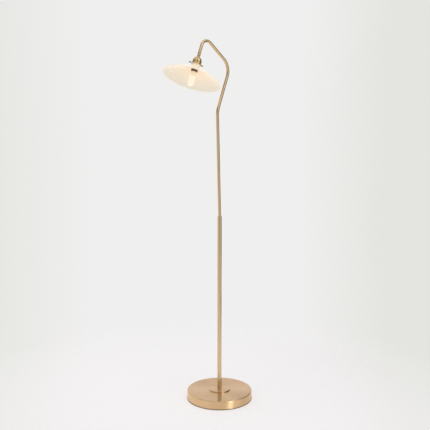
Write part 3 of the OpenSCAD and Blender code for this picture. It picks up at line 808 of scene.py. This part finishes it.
def shade_outline():
    """Outline of the glass: lip, neck, flare, shallow cone and rounded rim.

    It comes with each point's share of the outer face.
    """
    flare = (NECK_R + FLARE_R, LIP_TOP + NECK_LEN)
    rim = (RIM_R, LIP_TOP + SHADE_H)
    across = rim[0] - flare[0]
    down = rim[1] - flare[1]
    cone = math.sqrt(across ** 2 + down ** 2 - FLARE_R ** 2)
    slope = math.degrees(math.atan2(down, across) - math.atan2(FLARE_R, cone))
    inner_flare = arc(flare, FLARE_R + GLASS, 180, 90 + slope, FLARE_STEPS)
    outer_flare = arc(flare, FLARE_R, 90 + slope, 180, FLARE_STEPS)
    inward = (-math.sin(math.radians(slope)), math.cos(math.radians(slope)))
    middle = (rim[0] + inward[0] * GLASS / 2, rim[1] + inward[1] * GLASS / 2)
    rounded = arc(middle, GLASS / 2, 90 + slope, -90 + slope, RIM_STEPS)
    lip_centre = (NECK_R + LIP_W - LIP_T / 2, LIP_TOP + LIP_T / 2)
    lip_round = arc(lip_centre, LIP_T / 2, 90, -90, LIP_STEPS)
    edge_centre = (NECK_R - GLASS + LIP_EDGE, LIP_TOP + LIP_EDGE)
    inner_edge = arc(edge_centre, LIP_EDGE, -90, -180, LIP_EDGE_STEPS)
    under_lip = (NECK_R, LIP_TOP + LIP_T)
    inside = (
        inner_edge
        + straight(inner_edge[-1], inner_flare[0], NECK_STEPS)
        + inner_flare
        + straight(inner_flare[-1], rounded[0], CONE_STEPS)
    )
    outside = (
        straight(rounded[-1], outer_flare[0], CONE_STEPS)
        + outer_flare
        + straight(outer_flare[-1], under_lip, NECK_STEPS)
        + [under_lip]
        + lip_round
    )
    round_shares = [i / RIM_STEPS for i in range(RIM_STEPS + 1)]
    shares = [0.0] * len(inside) + round_shares + [1.0] * len(outside)
    return inside + rounded + outside, shares


glass_outline, outer_shares = shade_outline()
shade_mesh = turned_mesh("opal_shade", glass_outline, SHADE_TURN_STEPS, outer_shares)
finish_piece("opal_shade", shade_mesh, opal, "head", ["glass_shade"])


# Bulb

def bulb_outline():
    """Outline of the bulb's glass, outer then inner: neck, shoulder, straight side and domed tip."""
    shoulder = BULB_R - BULB_NECK_R
    level = CAP_LOW + shoulder
    tip = BULB_TIP - BULB_R
    inner_neck_r = BULB_NECK_R - BULB_WALL
    inner_r = BULB_R - BULB_WALL
    outside = (
        [(BULB_NECK_R, BULB_SEAT)]
        + arc((BULB_NECK_R, level), shoulder, -90, 0, SHOULDER_STEPS)
        + straight((BULB_R, level), (BULB_R, tip), BULB_SIDE_STEPS)
        + arc((0, tip), BULB_R, 0, 90, BULB_TIP_STEPS)
    )
    inside = (
        arc((0, tip), inner_r, 90, 0, BULB_TIP_STEPS)
        + straight((inner_r, tip), (inner_r, level), BULB_SIDE_STEPS)
        + arc((inner_neck_r, level), shoulder, 0, -90, SHOULDER_STEPS)
        + [(inner_neck_r, BULB_SEAT)]
    )
    return outside + inside


bulb_mesh = turned_mesh("bulb_envelope", bulb_outline(), BULB_TURN_STEPS)
bulb_piece = finish_piece("bulb_envelope", bulb_mesh, bulb_lit, "head", ["bulb_glass"])
for lets_light_through in (bulb_piece, nodes["bulb_stem"], nodes["bulb_filament"]):
    lets_light_through.visible_shadow = False


# Helpers for geometry trees

def ring(tree, sides, radius):
    """A round profile."""
    made = add(tree, "GeometryNodeCurvePrimitiveCircle")
    feed(tree, sides, made.inputs["Resolution"])
    feed(tree, radius, made.inputs["Radius"])
    return made.outputs[0]


def mark(tree, shape, label, value):
    """Keeps a value at each point of a shape, under a name."""
    store = add(tree, "GeometryNodeStoreNamedAttribute", data_type="FLOAT", domain="POINT")
    feed(tree, shape, store.inputs["Geometry"])
    feed(tree, label, store.inputs["Name"])
    feed(tree, value, store.inputs["Value"])
    return store.outputs[0]


def sweep(tree, line, profile, capped):
    """A profile swept along a line, with its ends closed or open."""
    swept = add(tree, "GeometryNodeCurveToMesh")
    feed(tree, line, swept.inputs["Curve"])
    feed(tree, profile, swept.inputs["Profile Curve"])
    feed(tree, capped, swept.inputs["Fill Caps"])
    return swept.outputs[0]


def end_tree(tree, shape, finish, result):
    """The end of a geometry tree: a smooth shape, made real, with its finish."""
    smooth = add(tree, "GeometryNodeSetShadeSmooth")
    feed(tree, shape, smooth.inputs["Geometry"])
    whole = add(tree, "GeometryNodeRealizeInstances")
    feed(tree, smooth.outputs[0], whole.inputs[0])
    dressed = add(tree, "GeometryNodeSetMaterial")
    feed(tree, whole.outputs[0], dressed.inputs["Geometry"])
    feed(tree, finish, dressed.inputs["Material"])
    feed(tree, dressed.outputs[0], result[0])


def evaluate(name, tree, seed, sizes, wall=0.0):
    """Runs a geometry tree on a seed mesh with its named sizes, and gives back a plain mesh.

    Where a wall is given, the skin gets that thickness inwards.
    """
    carrier = show(name, seed)
    modifier = carrier.modifiers.new("shape", "NODES")
    modifier.node_group = tree
    for item in tree.interface.items_tree:
        if item.in_out == "INPUT" and item.name in sizes:
            modifier[item.identifier] = sizes[item.name]
    if wall:
        thicken = carrier.modifiers.new("wall", "SOLIDIFY")
        thicken.thickness = wall
        thicken.offset = -1.0
    bpy.context.view_layer.update()
    graph = bpy.context.evaluated_depsgraph_get()
    mesh = bpy.data.meshes.new_from_object(carrier.evaluated_get(graph))
    mesh.name = name
    bpy.data.objects.remove(carrier)
    return mesh


# Swan neck, swept along its own corners

def bent_tube_tree(finish):
    """The skin of a tube along a line of corners, each rounded by its own bend radius."""
    tree, given, result = new_group(
        "bent_tube",
        {"Corners": GEOMETRY, "Radius": FLOAT, "Bend Steps": WHOLE, "Sides": WHOLE},
        {"Tube": GEOMETRY},
        "GeometryNodeTree",
    )
    line = add(tree, "GeometryNodeMeshToCurve")
    feed(tree, given["Corners"], line.inputs[0])
    bend = add(tree, "GeometryNodeInputNamedAttribute", data_type="FLOAT")
    feed(tree, "bend_radius", bend.inputs["Name"])
    rounded = add(tree, "GeometryNodeFilletCurve", mode="POLY")
    feed(tree, line.outputs[0], rounded.inputs["Curve"])
    feed(tree, given["Bend Steps"], rounded.inputs["Count"])
    feed(tree, bend.outputs[0], rounded.inputs["Radius"])
    way = add(tree, "GeometryNodeSplineParameter").outputs
    path = mark(tree, rounded.outputs[0], "along", way["Length"])
    profile = mark(tree, ring(tree, given["Sides"], given["Radius"]), "around", way["Factor"])
    end_tree(tree, sweep(tree, path, profile, False), finish, result)
    return tree


def arm_corners():
    """Corners of the arm's centreline in its plane, with the bend radius at each."""
    corners = [
        (Vector((0, 0, POLE_TOP - INSERT_LEN)), 0.0),
        (Vector((0, 0, POLE_TOP + LEAN_RISE)), LEAN_BEND_R),
    ]
    for heading, run, bend_r in ARM_RUNS:
        angle = math.radians(heading)
        step = Vector((-math.sin(angle), 0, math.cos(angle))) * run
        corners.append((corners[-1][0] + step, bend_r))
    return corners


def swan_neck_mesh():
    corners = arm_corners()
    seed = bpy.data.meshes.new("arm_corners")
    links = [(i, i + 1) for i in range(len(corners) - 1)]
    seed.from_pydata([corner for corner, _ in corners], links, [])
    bends = seed.attributes.new("bend_radius", "FLOAT", "POINT")
    bends.data.foreach_set("value", [bend_r for _, bend_r in corners])
    sizes = {"Radius": NECK_TUBE_R, "Bend Steps": BEND_STEPS, "Sides": TUBE_SIDES}
    return evaluate("swan_neck_tube", bent_tube_tree(tube_brass), seed, sizes, NECK_TUBE_WALL)


finish_piece("swan_neck_tube", swan_neck_mesh(), tube_brass, "arm", ["swan_neck"])


# Thumbscrews

def thread_radius(tree, given, turn, height):
    """Crest and root of a thread that climbs once a turn."""
    lift = over(tree, height, given["Thread Pitch"])
    climb = maths(tree, "FRACT", minus(tree, lift, over(tree, turn, 2 * math.pi)))
    ridge = times(tree, maths(tree, "ABSOLUTE", minus(tree, climb, 0.5)), 2.0)
    return minus(tree, given["Shank Radius"], times(tree, ridge, given["Thread Depth"]))


def knob_radius(tree, given, turn, height):
    """Rounded flutes on a knob whose two ends are rounded off."""
    wave = maths(tree, "COSINE", times(tree, turn, given["Flutes"]))
    hollow = times(tree, minus(tree, 0.5, times(tree, wave, 0.5)), given["Flute Depth"])
    body = minus(tree, given["Knob Radius"], hollow)
    from_low = minus(tree, height, given["Knob In"])
    from_high = minus(tree, given["Knob Out"], height)
    nearest = over(tree, maths(tree, "MINIMUM", from_low, from_high), given["Knob Edge"])
    short = minus(tree, 1.0, maths(tree, "MINIMUM", nearest, 1.0))
    return minus(tree, body, times(tree, times(tree, short, short), given["Knob Edge"]))


def fluted_screw_tree(finish):
    """A threaded shank and a fluted knob along Z, in one closed skin.

    It keeps each point's level and turn, which the lines of its finish follow.
    """
    tree, given, result = new_group(
        "fluted_screw",
        {"Seed": GEOMETRY, **{label: FLOAT for label in SCREW_SIZES}},
        {"Screw": GEOMETRY},
        "GeometryNodeTree",
    )
    line = add(tree, "GeometryNodeCurvePrimitiveLine")
    for label, level in (("Start", given["Tip"]), ("End", given["Knob Out"])):
        end = add(tree, "ShaderNodeCombineXYZ")
        feed(tree, level, end.inputs[2])
        feed(tree, end.outputs[0], line.inputs[label])
    fine = add(tree, "GeometryNodeResampleCurve")
    feed(tree, line.outputs[0], fine.inputs["Curve"])
    feed(tree, SCREW_RINGS, fine.inputs["Count"])
    rod = sweep(tree, fine.outputs[0], ring(tree, SCREW_SIDES, 1.0), True)
    parts = add(tree, "ShaderNodeSeparateXYZ")
    feed(tree, add(tree, "GeometryNodeInputPosition").outputs[0], parts.inputs[0])
    east, north, height = parts.outputs
    turn = maths(tree, "ARCTAN2", north, east)
    rod = mark(tree, rod, "along", height)
    rod = mark(tree, rod, "around", over(tree, turn, 2 * math.pi))
    shank = thread_radius(tree, given, turn, height)
    step = minus(tree, knob_radius(tree, given, turn, height), shank)
    on_knob = maths(tree, "GREATER_THAN", height, minus(tree, given["Knob In"], KNOB_SLACK))
    radius = plus(tree, shank, times(tree, step, on_knob))
    place = add(tree, "ShaderNodeCombineXYZ")
    feed(tree, times(tree, maths(tree, "COSINE", turn), radius), place.inputs[0])
    feed(tree, times(tree, maths(tree, "SINE", turn), radius), place.inputs[1])
    feed(tree, height, place.inputs[2])
    shaped = add(tree, "GeometryNodeSetPosition")
    feed(tree, rod, shaped.inputs["Geometry"])
    feed(tree, place.outputs[0], shaped.inputs["Position"])
    end_tree(tree, shaped.outputs[0], finish, result)
    return tree


def make_thumbscrews():
    """The three thumbscrews, each on its own body, along the axis of its joint."""
    tree = fluted_screw_tree(aged_brass)
    for number in (1, 2, 3):
        joint = joints[f"screw_{number}_turn"]
        aim = Vector(joint["axis"]).to_track_quat("Z", "Y").to_matrix().to_4x4()
        mesh = evaluate(f"fluted_screw_{number}", tree, bpy.data.meshes.new("screw_seed"), SCREW_SIZES)
        mesh.transform(Matrix.Translation(Vector(joint["pos_m"])) @ aim)
        finish_piece(f"fluted_screw_{number}", mesh, aged_brass, f"screw_{number}",
                     [f"thumbscrew_{number}"])


make_thumbscrews()


# Studio

BACKDROP = linear(240, 239, 239)
BACKDROP_EDGE = linear(228, 229, 224)
GROUND = linear(236, 235, 234)

FLOOR_R = 6.0
FLOOR_SIDES = 96
FLOOR_GRAIN = 30.0
# Painted contact shadow: the floor's own light goes dark within these radii from the pole
SHADOW_FROM = 139.5 * MM
SHADOW_TO = 143 * MM
FLOOR_FADE_FROM = 0.45
FLOOR_FADE_TO = 1.3

# Where the backdrop fades to its edge tone and to the ground's, from and to, as sines and cosines
EDGE_RIGHT = (0.14, 0.27)
EDGE_LEFT = (-0.2, -0.38)
EDGE_BEHIND = (0.6, 0.2)
GROUND_DOWN = (0.0, -0.2)
GROUND_BEHIND = (0.8, 0.5)

# Grey cards: turns right of the camera in degrees, both edges' distances and levels, and a screen tone
GREY_CARDS = {
    "low_card": ((-34, 22), (3.6, 3.6), (0.0, 1.1), 184),
    "high_card": ((-34, 22), (3.6, 3.6), (1.1, 3.4), 218),
    "right_card": ((76, 150), (2.2, 2.2), (0.3, 1.35), 162),
    "high_right_card": ((76, 150), (2.2, 2.2), (1.35, 3.2), 156),
    "dome_flag": ((80, 136), (0.9, 0.9), (1.02, 1.32), 84),
    "pole_flag": ((92, 150), (1.0, 1.0), (0.38, 0.72), 84),
    "low_right_card": ((30, 165), (1.45, 2.1), (0.004, 0.004), 150),
    "left_card": ((-105, -32), (2.4, 2.4), (1.7, 3.4), 110),
}
CARD_STEPS = 12
# How much darker green is than red, and blue than green
CARD_WARMTH = 2


def make_floor():
    """A pale floor with some light of its own, a painted shadow round the base, that fades out into the
    backdrop.
    """
    work = bmesh.new()
    bmesh.ops.create_circle(work, cap_ends=True, segments=FLOOR_SIDES, radius=FLOOR_R)
    mesh = plain_mesh("floor", work)
    finish, tree, shader = start_finish("pale_floor")
    at = object_place(tree)
    grain = noise(tree, at, scale=FLOOR_GRAIN)
    length = add(tree, "ShaderNodeVectorMath", operation="LENGTH")
    feed(tree, at, length.inputs[0])
    distance = length.outputs["Value"]
    lit = blend_colours(tree, grain, linear(201, 199, 202), linear(202, 200, 203))
    clear = spread(tree, distance, SHADOW_FROM, SHADOW_TO, 0.0, 1.0)
    dress(
        tree, shader,
        Base_Color=blend_colours(tree, grain, linear(180, 178, 177), linear(182, 180, 179)),
        Emission_Color=blend_colours(tree, clear, linear(30, 29, 28), lit),
        Emission_Strength=1.0,
        Roughness=0.9,
        Specular_IOR_Level=0.1,
        Alpha=spread(tree, distance, FLOOR_FADE_FROM, FLOOR_FADE_TO, 1.0, 0.0),
    )
    mesh.materials.append(finish)
    floor = show("floor", mesh)


def make_room():
    """Plain pale studio all round, lightest behind the lamp and on the ground."""
    world = bpy.data.worlds.new("studio")
    bpy.context.scene.world = world
    world.use_nodes = True
    tree = world.node_tree
    light = next(node for node in tree.nodes if node.type == "BACKGROUND")
    at = add(tree, "ShaderNodeTexCoord").outputs["Generated"]

    def towards(way):
        made = add(tree, "ShaderNodeVectorMath", operation="DOT_PRODUCT")
        feed(tree, at, made.inputs[0])
        feed(tree, way, made.inputs[1])
        return made.outputs["Value"]

    sideways = towards(view_right)
    away = towards(view_level)
    wall = BACKDROP
    for turned, fade in ((sideways, EDGE_RIGHT), (sideways, EDGE_LEFT), (away, EDGE_BEHIND)):
        wall = blend_colours(tree, spread(tree, turned, *fade, 0.0, 1.0), wall, BACKDROP_EDGE)
    down = spread(tree, towards((0, 0, 1)), *GROUND_DOWN, 0.0, 1.0)
    low = times(tree, down, spread(tree, away, *GROUND_BEHIND, 0.0, 1.0))
    feed(tree, blend_colours(tree, low, wall, GROUND), light.inputs["Color"])
    feed(tree, 1.0, light.inputs["Strength"])


def beside(turn, distance, level):
    """A point at a turn to the right of the camera, a distance from the pole and a level."""
    angle = CAMERA_AZIMUTH + math.radians(turn)
    return Vector((math.sin(angle) * distance, -math.cos(angle) * distance, level))


def grey_card(name, turns, distances, levels, tone):
    """A curved grey card round the lamp, which the metal reflects and the camera doesn't see."""
    work = bmesh.new()
    rows = []
    for i in range(CARD_STEPS + 1):
        turn = turns[0] + (turns[1] - turns[0]) * i / CARD_STEPS
        rows.append([work.verts.new(beside(turn, *edge)) for edge in zip(distances, levels)])
    for here, after in zip(rows, rows[1:]):
        work.faces.new((here[0], after[0], after[1], here[1]))
    mesh = plain_mesh(name, work)
    finish, tree, shader = start_finish(name)
    colour = linear(tone, tone - CARD_WARMTH, tone - 2 * CARD_WARMTH)
    dress(tree, shader, Base_Color=colour, Roughness=1.0, Specular_IOR_Level=0.0)
    mesh.materials.append(finish)
    card = show(name, mesh)
    card.visible_camera = False


def soft_box(name, turn, distance, level, width, height, power, aim, grid=180.0):
    """A soft box at a turn to the right of the camera, aimed at a point, its spread held in by a grid."""
    light = bpy.data.lights.new(name, "AREA")
    light.shape = "RECTANGLE"
    light.size = width
    light.size_y = height
    light.energy = power
    light.spread = math.radians(grid)
    stand = show(name, light)
    stand.location = beside(turn, distance, level)
    stand.rotation_euler = (Vector(aim) - stand.location).to_track_quat("-Z", "Y").to_euler()


place_camera()
make_floor()
make_room()
for card_name, card_values in GREY_CARDS.items():
    grey_card(card_name, *card_values)
soft_box("window", turn=48.0, distance=2.4, level=2.9, width=0.6, height=0.6, power=4.2,
         aim=(-0.11, 0, 1.43))
# Aimed under the floor, so that its beam takes in the base and fades out up the pole
soft_box("base_strip", turn=37.0, distance=2.6, level=0.35, width=0.85, height=0.5, power=0.6,
         aim=(0, 0, -0.40), grid=40.0)

bpy.context.scene.view_settings.view_transform = "Standard"
